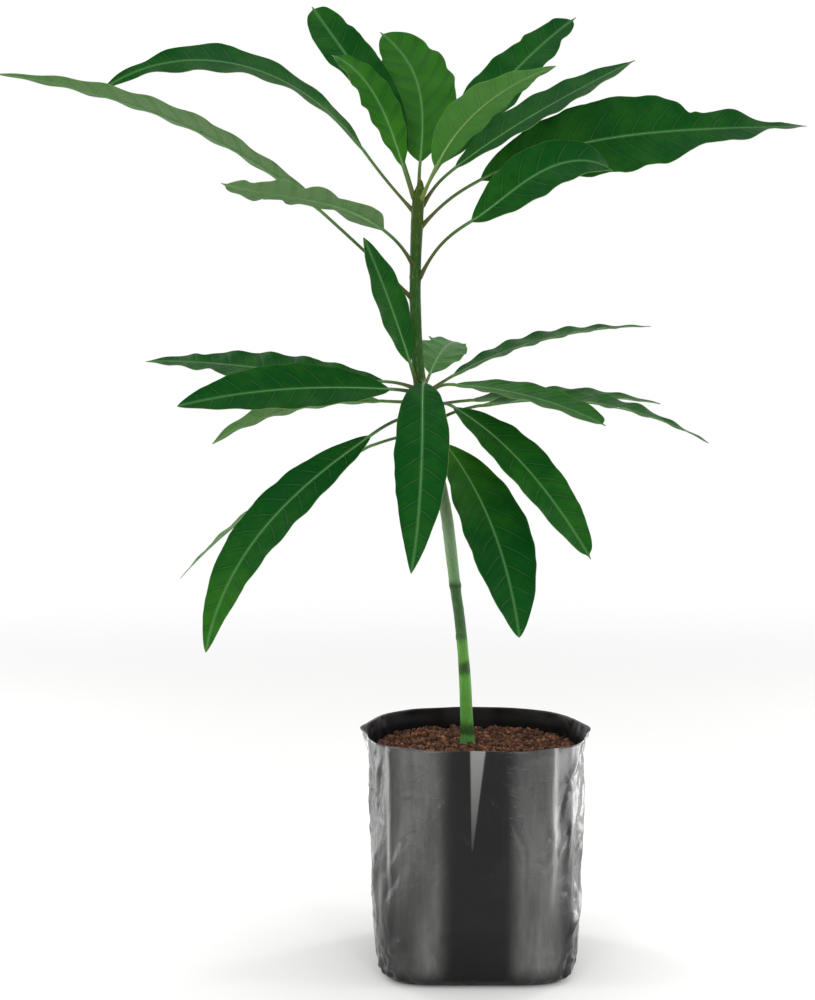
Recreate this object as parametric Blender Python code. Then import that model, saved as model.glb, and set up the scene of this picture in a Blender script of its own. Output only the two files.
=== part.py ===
"""A young grafted mango tree in a black nursery bag.

Units are metres, +Z is up, and the origin is the middle of the bag's flat underside.
+X is the right-hand side and -Y is the front.
The plant is one stem that stands on the potting mix, with one solid for each leaf.
A leaf is its stalk and a thin blade of its own outline, seated on the stem.
"""

import math
from collections import namedtuple

import bmesh
import bpy
from mathutils import Vector

MM = 0.001
GAP = 0.3 * MM

# Nursery bag: film with a square bottom that turns nearly round at the rim.
BAG_HEIGHT = 189 * MM
BAG_WALL = 1.2 * MM
BAG_FLOOR = 1.5 * MM
BAG_SIDES = 48
RIM_POINT_REACH = 5 * MM
RIM_POINT_SHARPNESS = 60
RIM_POINT_START = 165 * MM

# Potting mix: filled to a little below the rim, with an uneven top.
MIX_TOP = 171.7 * MM
MIX_ROUGHNESS = 1.6 * MM
MIX_RINGS = (0.88, 0.68, 0.48, 0.28)
MIX_LEVEL_RADIUS = 12 * MM

# Stem: from the flat cut on the mix to the bud at its tip.
STEM_SIDES = 14
FLARE_LOBES = 5
FLARE_DEPTH = 0.10
FLARE_HEIGHT = 10 * MM

# Leaf: a round stalk that flattens into a blade with a raised midrib.
STALK_RADIUS = 1.3 * MM
STALK_FOOT_SWELLING = 0.4 * MM
STALK_FOOT_LENGTH = 0.15
STALK_BANDS = 4
BLADE_BANDS = 11
STEPS_IN_A_BAND = 5
MIDRIB_HALF_THICKNESS = 1.0 * MM
MARGIN_HALF_THICKNESS = 0.4 * MM
TIP_HALF_WIDTH = 0.5 * MM
STALK_TO_BLADE = 0.1
FOLD_ANGLE = math.radians(8)
BASE_POWER = 0.75
WIDEST_AT = 0.47

BagRing = namedtuple("BagRing", "height half_width half_depth front_power back_power")
StemRing = namedtuple("StemRing", "height x y radius")
Leaf = namedtuple(
    "Leaf",
    "name seat stalk stalk_heading stalk_rise length width heading rise roll tip_power",
)
Station = namedtuple("Station", "point along across up reach lift edge middle")

# All in millimetres. A power of 2 gives an ellipse, and a higher one squarer corners.
BAG_RINGS = (
    BagRing(0, 73, 75, 5.0, 5.0),
    BagRing(5, 78, 81, 5.0, 5.0),
    BagRing(22, 81, 86, 4.4, 4.2),
    BagRing(48, 83.5, 90.5, 3.8, 3.4),
    BagRing(90, 84, 92.5, 3.3, 2.8),
    BagRing(130, 85, 91.5, 3.1, 2.5),
    BagRing(165, 86, 90, 3.0, 2.4),
    BagRing(178, 87, 89.5, 3.0, 2.3),
    BagRing(189, 88.5, 89.5, 3.0, 2.3),
)

# All in millimetres: the lean to the left, the taper, and a swelling at each whorl of leaves.
STEM_RINGS = (
    StemRing(172, -6, 13, 7.2),
    StemRing(175, -6, 13, 6.3),
    StemRing(182, -6, 13, 5.6),
    StemRing(200, -7, 12.5, 5.1),
    StemRing(225, -8, 12, 4.8),
    StemRing(251, -10, 11, 4.5),
    StemRing(280, -13, 10, 4.4),
    StemRing(300, -16, 9, 4.4),
    StemRing(304, -16.5, 9, 4.9),
    StemRing(310, -17, 9, 4.6),
    StemRing(335, -20, 8, 4.9),
    StemRing(360, -23, 7, 4.9),
    StemRing(390, -29, 6, 4.8),
    StemRing(415, -35, 5, 4.9),
    StemRing(436, -39.5, 4, 5.3),
    StemRing(463, -44.5, 3, 5.5),
    StemRing(480, -46.5, 2.5, 4.9),
    StemRing(505, -48, 2, 4.5),
    StemRing(535, -49, 1, 4.5),
    StemRing(570, -48.5, 0.5, 4.6),
    StemRing(595, -47.5, 0, 4.9),
    StemRing(614, -46.5, 0, 4.7),
    StemRing(622, -45.5, 0, 3.7),
    StemRing(626, -44.5, 0, 2.4),
    StemRing(629, -44, 0, 0.9),
)

# Lengths are in millimetres and angles in degrees. seat is the stalk's height on the stem.
# A heading of 0 is right, 90 back, 180 left and 270 front, and a rise is above level.
# heading, rise and roll are given at the blade's base, middle and tip.
# A roll above 0 lifts the edge on the left of the heading.
# tip_power is low for a blunt tip and high for a drawn-out one.
LEAVES = (
    Leaf(
        "top_leaf_back_left", 613, 36, 122, 65, 170, 42,
        (128, 138, 135), (62, 50, 47), (-30, -45, -50), 0.33,
    ),
    Leaf(
        "top_leaf_narrow", 617, 24, 188, 70, 112, 29,
        (172, 160, 155), (72, 60, 22), (-45, -45, -30), 0.5,
    ),
    Leaf(
        "top_leaf_back_broad", 622, 26, 92, 62, 143, 60,
        (80, 106, 162), (62, 53, 38), (0, -20, -50), 0.5,
    ),
    Leaf(
        "top_leaf_back_right", 616, 35, 48, 58, 188, 42,
        (42, 35, 28), (48, 43, 34), (40, 40, 40), 0.45,
    ),
    Leaf(
        "top_leaf_front_right", 615, 30, 308, 54, 146, 40,
        (297, 313, 325), (44, 27, 12), (-15, -15, -10), 0.9,
    ),
    Leaf(
        "top_leaf_right", 611, 38, 14, 58, 170, 46,
        (9, 8, 8), (38, 30, 27), (26, 26, 26), 0.65,
    ),
    Leaf(
        "upper_leaf_left_arching", 606, 64, 157, 46, 254, 40,
        (150, 168, 180), (50, 16, -36), (6, -30, -68), 0.9,
    ),
    Leaf(
        "upper_leaf_left_long", 538, 96, 180, 46, 274, 46,
        (205, 197, 194), (39, 21, 5), (10, 6, 18), 1,
    ),
    Leaf(
        "upper_leaf_left_front", 564, 42, 232, 44, 168, 40,
        (226, 225, 227), (28, 5, 10), (24, 22, 30), 0.6,
    ),
    Leaf(
        "upper_leaf_right_long", 594, 61, 18, 46, 277, 66,
        (15, 8, 2), (28, 7, 2), (62, 66, 10), 1.5,
    ),
    Leaf(
        "upper_leaf_right_front", 554, 60, 337, 60, 128, 46,
        (349, 360, 385), (31, 29, -34), (55, 58, 35), 0.4,
    ),
    Leaf(
        "middle_leaf_upright", 472, 14, 235, 60, 108, 31,
        (218, 218, 218), (68, 65, 61), (-85, -85, -85), 0.8,
    ),
    Leaf(
        "lower_leaf_left_back", 464, 30, 146, 17, 242, 40,
        (145, 150, 155), (2, 5, -2), (-30, -30, -25), 0.8,
    ),
    Leaf(
        "lower_leaf_left", 461, 22, 206, 11, 176, 47,
        (205, 203, 200), (4, -3, -13), (-45, -45, -45), 0.75,
    ),
    Leaf(
        "lower_leaf_left_front", 453, 28, 192, 2, 142, 32,
        (190, 187, 187), (3, -12, -38), (24, 26, 30), 0.75,
    ),
    Leaf(
        "hanging_leaf_left", 444, 50, 212, -10, 228, 41,
        (218, 218, 242), (-28, -42, -70), (-32, -28, -15), 0.75,
    ),
    Leaf(
        "hanging_leaf_left_back", 429, 48, 168, -12, 230, 34,
        (144, 150, 158), (-18, -32, -46), (-15, -15, -15), 0.9,
    ),
    Leaf(
        "hanging_leaf_front", 472, 20, 285, -10, 180, 42,
        (266, 266, 238), (-8, -62, -68), (0, 0, 0), 0.8,
    ),
    Leaf(
        "hanging_leaf_right", 437, 26, 297, -35, 172, 58,
        (317, 307, 300), (-42, -58, -76), (10, 10, 10), 0.75,
    ),
    Leaf(
        "drooping_leaf_right", 446, 28, 316, 40, 176, 42,
        (320, 318, 322), (-23, -40, -54), (20, 20, 20), 0.45,
    ),
    Leaf(
        "lower_leaf_right_rising", 461, 26, 28, 31, 190, 34,
        (30, 23, 17), (26, 12, 0), (6, 6, 6), 1.1,
    ),
    Leaf(
        "lower_leaf_back", 463, 27, 70, 36, 140, 40,
        (80, 80, 78), (20, 10, 0), (15, 15, 15), 0.6,
    ),
    Leaf(
        "lower_leaf_right_front", 459, 26, 332, 42, 137, 42,
        (329, 329, 328), (-2, -12, -24), (12, 12, 12), 0.35,
    ),
    Leaf(
        "lower_leaf_right_back", 450, 36, 15, 10, 175, 40,
        (26, 22, 20), (3, -1, -10), (10, 10, 10), 0.8,
    ),
    Leaf(
        "lower_leaf_right_long", 437, 38, 348, 29, 190, 40,
        (345, 347, 349), (12, -8, -30), (8, 8, 8), 1.3,
    ),
)

YOUNG_LEAVES = ("top_leaf_narrow", "top_leaf_front_right", "upper_leaf_right_long")


def clear_scene():
    for thing in list(bpy.data.objects):
        bpy.data.objects.remove(thing, do_unlink=True)


def make_material(name, hex_colour, roughness):
    """A plain surface of one colour, given as the hex digits of its sRGB value."""
    channels = [int(hex_colour[i : i + 2], 16) / 255 for i in (0, 2, 4)]
    linear = [c / 12.92 if c <= 0.04045 else ((c + 0.055) / 1.055) ** 2.4 for c in channels]
    surface = bpy.data.materials.new(name)
    surface.use_nodes = True
    shader = surface.node_tree.nodes["Principled BSDF"]
    shader.inputs["Base Color"].default_value = (*linear, 1)
    shader.inputs["Roughness"].default_value = roughness
    shader.inputs["Metallic"].default_value = 0
    surface.diffuse_color = (*linear, 1)
    return surface


class Shell:
    """A triangle mesh built from rings of points, with one origin."""

    def __init__(self, origin):
        self.origin = Vector(origin)
        self.mesh = bmesh.new()

    def ring(self, points):
        return [self.mesh.verts.new(Vector(p) - self.origin) for p in points]

    def face(self, corners, inward=False):
        self.mesh.faces.new(reversed(corners) if inward else corners)

    def bridge(self, low, high, inward=False, crossing=()):
        """Joins two rings. crossing lists the sides whose diagonal runs the other way."""
        count = len(low)
        for k in range(count):
            n = (k + 1) % count
            if k in crossing:
                self.face((low[k], low[n], high[k]), inward)
                self.face((low[n], high[n], high[k]), inward)
            else:
                self.face((low[k], low[n], high[n]), inward)
                self.face((low[k], high[n], high[k]), inward)

    def finish(self, name, surface, sharp_angle):
        data = bpy.data.meshes.new(name)
        self.mesh.to_mesh(data)
        self.mesh.free()
        data.materials.append(surface)
        data.shade_smooth()
        data.set_sharp_from_angle(angle=math.radians(sharp_angle))
        thing = bpy.data.objects.new(name, data)
        thing.location = self.origin
        bpy.context.scene.collection.objects.link(thing)
        return thing


def between(low, high, f):
    return low + (high - low) * f


def signed_power(value, power):
    return math.copysign(abs(value) ** power, value)


def rim_point(height, angle):
    """How far the film's side folds reach out at the rim."""
    climb = (height - RIM_POINT_START) / (BAG_HEIGHT - RIM_POINT_START)
    return RIM_POINT_REACH * max(0.0, climb) ** 2 * math.cos(angle) ** RIM_POINT_SHARPNESS


def bag_ring_outline(ring, inset):
    points = []
    for k in range(BAG_SIDES):
        angle = math.tau * k / BAG_SIDES
        power = 2 / (ring.front_power if math.sin(angle) < 0 else ring.back_power)
        x = (ring.half_width * MM - inset) * signed_power(math.cos(angle), power)
        y = (ring.half_depth * MM - inset) * signed_power(math.sin(angle), power)
        x += math.copysign(rim_point(ring.height * MM, angle), x)
        points.append(Vector((x, y, ring.height * MM)))
    return points


def bag_outline(height, inset):
    """The bag's outline at any height, on the flat faces between its rings."""
    for low, high in zip(BAG_RINGS, BAG_RINGS[1:]):
        if height <= high.height * MM:
            break
    f = (height / MM - low.height) / (high.height - low.height)
    pairs = zip(bag_ring_outline(low, inset), bag_ring_outline(high, inset))
    return [a.lerp(b, f) for a, b in pairs]


def make_bag(surface):
    shell = Shell((0, 0, 0))
    heights = [ring.height * MM for ring in BAG_RINGS]
    outer = [shell.ring(bag_outline(z, 0)) for z in heights]
    inner = [shell.ring(bag_outline(z, BAG_WALL)) for z in [BAG_FLOOR] + heights[1:]]
    for low, high in zip(outer, outer[1:]):
        shell.bridge(low, high)
    for low, high in zip(inner, inner[1:]):
        shell.bridge(low, high, inward=True)
    shell.bridge(outer[-1], inner[-1])
    shell.face(outer[0], inward=True)
    shell.face(inner[0])
    return shell.finish("nursery_bag", surface, 50)


def mix_height(angle, ring):
    """A shallow unevenness, in lobes that differ from ring to ring."""
    lobes = 0.6 * math.sin(3 * angle + 2.1 * ring) + 0.4 * math.sin(7 * angle + 4.3 * ring)
    return MIX_TOP + MIX_ROUGHNESS * lobes


def make_mix(surface):
    shell = Shell((0, 0, BAG_FLOOR + GAP))
    inset = BAG_WALL + GAP
    edge_height = MIX_TOP - MIX_ROUGHNESS
    middle = [ring.height * MM for ring in BAG_RINGS if BAG_FLOOR < ring.height * MM < edge_height]
    heights = [BAG_FLOOR + GAP] + middle + [edge_height]
    walls = [shell.ring(bag_outline(z, inset)) for z in heights]
    for low, high in zip(walls, walls[1:]):
        shell.bridge(low, high)
    shell.face(walls[0], inward=True)

    foot = Vector((STEM_RINGS[0].x, STEM_RINGS[0].y, 0)) * MM
    edge = bag_outline(edge_height, inset)
    outside = walls[-1]
    for number, factor in enumerate(MIX_RINGS):
        points = []
        for k, point in enumerate(edge):
            flat = foot.lerp(point, factor)
            points.append((flat.x, flat.y, mix_height(math.tau * k / BAG_SIDES, number)))
        inside = shell.ring(points)
        shell.bridge(outside, inside)
        outside = inside
    level = []
    for k in range(BAG_SIDES):
        angle = math.tau * k / BAG_SIDES
        x = foot.x + MIX_LEVEL_RADIUS * math.cos(angle)
        y = foot.y + MIX_LEVEL_RADIUS * math.sin(angle)
        level.append((x, y, MIX_TOP))
    inside = shell.ring(level)
    shell.bridge(outside, inside)
    shell.face(inside)
    return shell.finish("potting_mix", surface, 50)


def stem_at(height):
    """The stem's middle and radius at a height, in metres."""
    for low, high in zip(STEM_RINGS, STEM_RINGS[1:]):
        if height <= high.height * MM:
            break
    f = (height / MM - low.height) / (high.height - low.height)
    middle = Vector((between(low.x, high.x, f), between(low.y, high.y, f), 0)) * MM
    middle.z = height
    return middle, between(low.radius, high.radius, f) * MM


def make_stem(surface):
    base = STEM_RINGS[0]
    shell = Shell((base.x * MM, base.y * MM, base.height * MM))
    rings = []
    for ring in STEM_RINGS:
        above = (ring.height - base.height) * MM / FLARE_HEIGHT
        lobes = FLARE_DEPTH * max(0.0, 1 - above) ** 2
        points = []
        for k in range(STEM_SIDES):
            angle = math.tau * k / STEM_SIDES
            radius = ring.radius * (1 + lobes * math.cos(FLARE_LOBES * angle))
            x = ring.x + radius * math.cos(angle)
            y = ring.y + radius * math.sin(angle)
            points.append(Vector((x, y, ring.height)) * MM)
        rings.append(shell.ring(points))
    for low, high in zip(rings, rings[1:]):
        shell.bridge(low, high)
    shell.face(rings[0], inward=True)
    shell.face(rings[-1])
    return shell.finish("stem", surface, 60)


def direction(heading, rise):
    heading = math.radians(heading)
    rise = math.radians(rise)
    level = math.cos(rise)
    return Vector((math.cos(heading) * level, math.sin(heading) * level, math.sin(rise)))


def ease(t):
    return t * t * (3 - 2 * t)


def through(three, f):
    """The smooth curve through a value at the blade's base, middle and tip."""
    base, middle, tip = three
    return base * (1 - f) * (1 - 2 * f) + middle * 4 * f * (1 - f) + tip * f * (2 * f - 1)


def stalk_direction(leaf, t):
    heading = between(leaf.stalk_heading, leaf.heading[0], ease(t))
    rise = between(leaf.stalk_rise, leaf.rise[0], ease(t))
    return direction(heading, rise)


def blade_direction(leaf, f):
    return direction(through(leaf.heading, f), through(leaf.rise, f))


def blade_half_width(leaf, f):
    """A lance shape that starts at the stalk and narrows to the drip tip."""
    arch = max(0.0, math.sin(math.pi * f ** (math.log(0.5) / math.log(WIDEST_AT))))
    power = BASE_POWER if f < WIDEST_AT else leaf.tip_power
    return max(TIP_HALF_WIDTH, leaf.width / 2 * MM * arch**power)


def blade_stop(u):
    """Spreads the blade's stations evenly, but closer together at both ends."""
    return u - 0.8 * math.sin(math.tau * u) / (2 * math.tau)


def station(point, along, roll, half_width, stalk_radius, blade_share):
    """A place on the leaf's midline, with the directions across and up from its blade."""
    level = Vector((-along.y, along.x, 0)).normalized()
    lifted = along.cross(level)
    roll = math.radians(roll)
    across = level * math.cos(roll) + lifted * math.sin(roll)
    up = lifted * math.cos(roll) - level * math.sin(roll)
    edge = between(stalk_radius / 2, MARGIN_HALF_THICKNESS, blade_share)
    middle = between(stalk_radius, MIDRIB_HALF_THICKNESS, blade_share)
    flat = max(half_width, 1e-6) * math.cos(FOLD_ANGLE)
    reach = between(stalk_radius * math.cos(math.radians(30)), flat, blade_share)
    lift = blade_share * half_width * math.sin(FOLD_ANGLE)
    return Station(point, along, across, up, reach, lift, edge, middle)


def walk(leaf, seat):
    """The stations of one leaf, from its seat on the stem to its tip."""
    stations = []
    point = seat.copy()
    length = leaf.stalk * MM
    for band in range(STALK_BANDS + 1):
        t = band / STALK_BANDS
        swelling = STALK_FOOT_SWELLING * max(0.0, 1 - t / STALK_FOOT_LENGTH)
        radius = STALK_RADIUS + swelling
        stations.append(station(point.copy(), stalk_direction(leaf, t), leaf.roll[0], 0, radius, 0))
        for step in range(STEPS_IN_A_BAND):
            middle = t + (step + 0.5) / STEPS_IN_A_BAND / STALK_BANDS
            if band < STALK_BANDS:
                point += stalk_direction(leaf, middle) * length / STALK_BANDS / STEPS_IN_A_BAND
    length = leaf.length * MM
    for band in range(BLADE_BANDS):
        start = blade_stop(band / BLADE_BANDS)
        stop = blade_stop((band + 1) / BLADE_BANDS)
        for step in range(STEPS_IN_A_BAND):
            middle = between(start, stop, (step + 0.5) / STEPS_IN_A_BAND)
            point += blade_direction(leaf, middle) * length * (stop - start) / STEPS_IN_A_BAND
        share = ease(min(1.0, stop / STALK_TO_BLADE))
        width = blade_half_width(leaf, stop)
        along = blade_direction(leaf, stop)
        stations.append(station(point.copy(), along, through(leaf.roll, stop), width, STALK_RADIUS, share))
    return stations


def section(at):
    """Six points round a station: left edge, midrib and right edge above, then back below."""
    left = at.across * at.reach + at.up * at.lift
    right = at.across * -at.reach + at.up * at.lift
    return [
        at.point + left + at.up * at.edge,
        at.point + at.up * at.middle,
        at.point + right + at.up * at.edge,
        at.point + right - at.up * at.edge,
        at.point - at.up * at.middle,
        at.point + left - at.up * at.edge,
    ]


def make_leaf(leaf, surface):
    middle, radius = stem_at(leaf.seat * MM)
    out = direction(leaf.stalk_heading, 0)
    seat = middle + out * (radius + GAP)
    # The stem's side leans and tapers, so the stalk is cut to that slope.
    reach = 3 * MM
    above, above_radius = stem_at(seat.z + reach)
    below, below_radius = stem_at(seat.z - reach)
    slope = ((above - below).dot(out) + above_radius - below_radius) / (2 * reach)
    facing = Vector((out.x, out.y, -slope)).normalized()

    shell = Shell(seat)
    stations = walk(leaf, seat)
    sections = [section(at) for at in stations]
    along = stations[0].along
    foot = [p - along * ((p - seat).dot(facing) / along.dot(facing)) for p in sections[0]]
    rings = [shell.ring(points) for points in [foot] + sections[1:]]
    for low, high in zip(rings, rings[1:]):
        shell.bridge(low, high, crossing=(1, 4))
    shell.face(rings[0], inward=True)
    shell.face(rings[-1])
    return shell.finish(leaf.name, surface, 60)


def main():
    clear_scene()
    film = make_material("bag_film", "1c1d20", 0.3)
    mix = make_material("potting_mix_surface", "4a3122", 0.95)
    bark = make_material("stem_bark", "5d6a3c", 0.6)
    mature = make_material("mature_leaf", "2f5a2c", 0.4)
    young = make_material("young_leaf", "5f8a3c", 0.45)
    make_bag(film)
    make_mix(mix)
    make_stem(bark)
    for leaf in LEAVES:
        make_leaf(leaf, young if leaf.name in YOUNG_LEAVES else mature)


main()
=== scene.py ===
"""The looks of a young mango tree in a black nursery bag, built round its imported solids.

Units are metres, +Z is up, +X is the right-hand side and -Y is the front.
"""

import math
from collections import namedtuple

import bpy
import numpy as np
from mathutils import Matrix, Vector, noise


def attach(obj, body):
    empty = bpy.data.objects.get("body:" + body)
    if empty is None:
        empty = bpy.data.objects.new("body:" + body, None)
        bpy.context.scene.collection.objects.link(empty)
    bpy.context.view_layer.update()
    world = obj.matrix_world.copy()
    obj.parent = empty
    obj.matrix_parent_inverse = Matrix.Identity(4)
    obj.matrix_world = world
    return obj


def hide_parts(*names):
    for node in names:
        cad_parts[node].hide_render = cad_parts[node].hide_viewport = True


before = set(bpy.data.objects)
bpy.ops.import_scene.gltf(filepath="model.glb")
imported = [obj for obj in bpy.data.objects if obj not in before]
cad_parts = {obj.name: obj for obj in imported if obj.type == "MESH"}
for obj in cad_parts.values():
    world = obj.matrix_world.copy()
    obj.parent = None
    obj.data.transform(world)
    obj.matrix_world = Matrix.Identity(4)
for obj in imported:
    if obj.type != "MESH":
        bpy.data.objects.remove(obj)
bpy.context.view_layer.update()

MM = 0.001

# ---------------------------------------------------------------- sizes

Leaf = namedtuple(
    "Leaf",
    "name seat stalk stalk_heading stalk_rise length width heading rise roll tip_power "
    "wave waves curl youth",
)

# Millimetres and degrees, as in the solids. Then the margin's wave height in millimetres, the
# number of waves along it, how far it curls up as a share of the half width, and the leaf's
# youth at its base, middle and tip, from 0 for a dark old leaf to 1 for a light new one.
LEAF_ROWS = (
    ("top_leaf_back_left", 613, 36, 122, 65, 170, 42,
     (128, 138, 135), (62, 50, 47), (-30, -45, -50), 0.33, 1.2, 5, 0.06, (0.06, 0.02, 0.1)),
    ("top_leaf_narrow", 617, 24, 188, 70, 112, 29,
     (172, 160, 155), (72, 60, 22), (-45, -45, -30), 0.5, 1.5, 6, 0.1, (0.42, 0.32, 0.24)),
    ("top_leaf_back_broad", 622, 26, 92, 62, 143, 60,
     (80, 106, 162), (62, 53, 38), (0, -20, -50), 0.5, 1.6, 5, 0.05, (0.32, 0.32, 0.32)),
    ("top_leaf_back_right", 616, 35, 48, 58, 188, 42,
     (42, 35, 28), (48, 43, 34), (40, 40, 40), 0.45, 1.7, 6, 0.05, (0.12, 0.05, 0.04)),
    ("top_leaf_front_right", 615, 30, 308, 54, 146, 40,
     (297, 313, 325), (44, 27, 12), (-15, -15, -10), 0.9, 1.2, 5, 0.05, (1, 0.85, 0.7)),
    ("top_leaf_right", 611, 38, 14, 58, 170, 46,
     (9, 8, 8), (38, 30, 27), (26, 26, 26), 0.65, 0.9, 6, 0.04, (0.08, 0.02, 0.02)),
    ("upper_leaf_left_arching", 606, 64, 157, 46, 254, 40,
     (150, 168, 180), (50, 16, -36), (6, -30, -68), 0.9, 1.3, 6, 0.03, (0.35, 0.06, 0.1)),
    ("upper_leaf_left_long", 538, 96, 180, 46, 274, 46,
     (205, 197, 194), (39, 21, 5), (10, 6, 18), 1, 1.1, 8, 0.04, (0.2, 0.02, 0.7)),
    ("upper_leaf_left_front", 564, 42, 232, 44, 168, 40,
     (226, 225, 227), (28, 5, 10), (24, 22, 30), 0.6, 1.7, 5, 0.05, (0.12, 0.1, 0.3)),
    ("upper_leaf_right_long", 594, 61, 18, 46, 277, 66,
     (15, 8, 2), (28, 7, 2), (62, 66, 10), 1.5, 2, 8, 0.04, (0.2, 0.06, 0.03)),
    ("upper_leaf_right_front", 554, 60, 337, 60, 128, 46,
     (349, 360, 385), (31, 29, -34), (55, 58, 35), 0.4, 0.9, 5, 0.08, (0.12, 0.03, 0.03)),
    ("middle_leaf_upright", 472, 14, 235, 60, 108, 31,
     (218, 218, 218), (68, 65, 61), (-85, -85, -85), 0.8, 1, 4, 0.05, (0.15, 0.08, 0.08)),
    ("lower_leaf_left_back", 464, 30, 146, 17, 242, 40,
     (145, 150, 155), (2, 5, -2), (-30, -30, -25), 0.8, 1.6, 7, 0.04, (0.1, 0.06, 0.08)),
    ("lower_leaf_left", 461, 22, 206, 11, 176, 47,
     (205, 203, 200), (4, -3, -13), (-45, -45, -45), 0.75, 0.7, 6, 0.04, (0.04, 0.03, 0.03)),
    ("lower_leaf_left_front", 453, 28, 192, 2, 142, 32,
     (190, 187, 187), (3, -12, -38), (24, 26, 30), 0.75, 1.2, 5, 0.06, (0.5, 0.4, 0.5)),
    ("hanging_leaf_left", 444, 50, 212, -10, 228, 41,
     (218, 218, 242), (-28, -42, -70), (-32, -28, -15), 0.75, 0.9, 7, 0.05, (0.05, 0.03, 0.42)),
    ("hanging_leaf_left_back", 429, 48, 168, -12, 230, 34,
     (144, 150, 158), (-18, -32, -46), (-15, -15, -15), 0.9, 0.8, 7, 0.04, (0.3, 0.3, 0.2)),
    ("hanging_leaf_front", 472, 20, 285, -10, 180, 42,
     (266, 266, 238), (-8, -62, -68), (0, 0, 0), 0.8, 0.6, 6, 0.04, (0.06, 0.02, 0.03)),
    ("hanging_leaf_right", 437, 26, 297, -35, 172, 58,
     (317, 307, 300), (-42, -58, -76), (10, 10, 10), 0.75, 0.9, 6, 0.05, (0.5, 0.02, 0.03)),
    ("drooping_leaf_right", 446, 28, 316, 40, 176, 42,
     (320, 318, 322), (-23, -40, -54), (20, 20, 20), 0.45, 0.7, 6, 0.05, (0.15, 0.1, 0.12)),
    ("lower_leaf_right_rising", 461, 26, 28, 31, 190, 34,
     (30, 23, 17), (26, 12, 0), (6, 6, 6), 1.1, 1.4, 7, 0.05, (0.12, 0.12, 0.1)),
    ("lower_leaf_back", 463, 27, 70, 36, 140, 40,
     (80, 80, 78), (20, 10, 0), (15, 15, 15), 0.6, 1.2, 5, 0.05, (0.5, 0.5, 0.45)),
    ("lower_leaf_right_front", 459, 26, 332, 42, 137, 42,
     (329, 329, 328), (-2, -12, -24), (12, 12, 12), 0.35, 0.9, 5, 0.04, (0.3, 0.22, 0.2)),
    ("lower_leaf_right_back", 450, 36, 15, 10, 175, 40,
     (26, 22, 20), (3, -1, -10), (10, 10, 10), 0.8, 1.3, 6, 0.05, (0.2, 0.2, 0.15)),
    ("lower_leaf_right_long", 437, 38, 348, 29, 190, 40,
     (345, 347, 349), (12, -8, -30), (8, 8, 8), 1.3, 1.5, 7, 0.05, (0.2, 0.15, 0.1)),
)
LEAVES = [Leaf(*row) for row in LEAF_ROWS]
YOUNG_LEAVES = ("top_leaf_narrow", "top_leaf_front_right", "upper_leaf_right_long")

STEM_RINGS = (
    (172, -6, 13, 7.2),
    (175, -6, 13, 6.3),
    (182, -6, 13, 5.6),
    (200, -7, 12.5, 5.1),
    (225, -8, 12, 4.8),
    (251, -10, 11, 4.5),
    (280, -13, 10, 4.4),
    (300, -16, 9, 4.4),
    (304, -16.5, 9, 4.9),
    (310, -17, 9, 4.6),
    (335, -20, 8, 4.9),
    (360, -23, 7, 4.9),
    (390, -29, 6, 4.8),
    (415, -35, 5, 4.9),
    (436, -39.5, 4, 5.3),
    (463, -44.5, 3, 5.5),
    (480, -46.5, 2.5, 4.9),
    (505, -48, 2, 4.5),
    (535, -49, 1, 4.5),
    (570, -48.5, 0.5, 4.6),
    (595, -47.5, 0, 4.9),
    (614, -46.5, 0, 4.7),
    (622, -45.5, 0, 3.7),
    (626, -44.5, 0, 2.4),
    (629, -44, 0, 0.9),
)
FLARE_LOBES = 5
FLARE_HEIGHT = 10 * MM
STEM_FOOT = 2.5 * MM
ROUNDED_OVER = 8 * MM

# Height, half width, half depth, and the front's and back's squareness.
BAG_RINGS = (
    (0, 73, 75, 5.0, 5.0),
    (5, 78, 81, 5.0, 5.0),
    (22, 81, 86, 4.4, 4.2),
    (48, 83.5, 90.5, 3.8, 3.4),
    (90, 84, 92.5, 3.3, 2.8),
    (130, 85, 91.5, 3.1, 2.5),
    (165, 86, 90, 3.0, 2.4),
    (178, 87, 89.5, 3.0, 2.3),
    (189, 88.5, 89.5, 3.0, 2.3),
)
BAG_HEIGHT = 189 * MM
BAG_RADIUS = 88 * MM
FILM = 0.35 * MM
RIM_EAR = 5 * MM
RIM_EAR_FROM = 165 * MM
# The dart in the middle of the front, from its point to the rim.
DART_POINT = 105 * MM

# Heading of each gusset's edge at the rim in degrees, how far it stands out in millimetres, and how
# pale its fold is painted: stress whitening with a painted highlight.
GUSSETS = (
    (225, 1.7, 0.7),
    (307, 1.7, 0.75),
    (124, 1.2, 0.5),
    (46, 1.2, 0.5),
)
GUSSET_LEAN = 4.5

# Painted sheen: pale bands up the panels stand in for the lamps' reflections. Each has its middle
# and half width in millimetres, how pale, and whether the band is on the front.
PAINTED_SHEEN_BANDS = (
    (-47, 19, 0.24, True),
    (45, 17, 0.28, True),
    (62, 7, 0.1, True),
    (-30, 14, 0.28, False),
    (38, 18, 0.3, False),
)

MIX_TOP = 171.7 * MM
MIX_FOOT = 3.5 * MM
MIX_INSET = 4.2 * MM
MIX_EDGE_DROP = 1.5 * MM
# How much of the mix's sheet is its top. The rest is its wall.
MIX_TOP_SHARE = 0.72
CRUMBS = 1900
FIBRES = 260

STALK_GAP = 0.3 * MM
STALK_FOOT = 2.5 * MM
STALK_RADIUS = 1.3 * MM
STALK_STEPS = 30
BLADE_STEPS = 200
BLADE_COLUMNS = 28
BLADE_ROW = 1.6
BLADE_THICKNESS = 0.5 * MM
BLUNT_TIP = 0.7
DRIP_TIP = 2.2 * MM
QUILT_RISE = 0.34 * MM
QUILT_SINK = 0.16 * MM
FOLD_ANGLE = math.radians(8)
WIDEST_AT = 0.47
BASE_POWER = 0.75
SIDE_VEIN_SPACING = 8.5 * MM
SIDE_VEIN_SLANT = 0.55
SEAM = 1e-6

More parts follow.
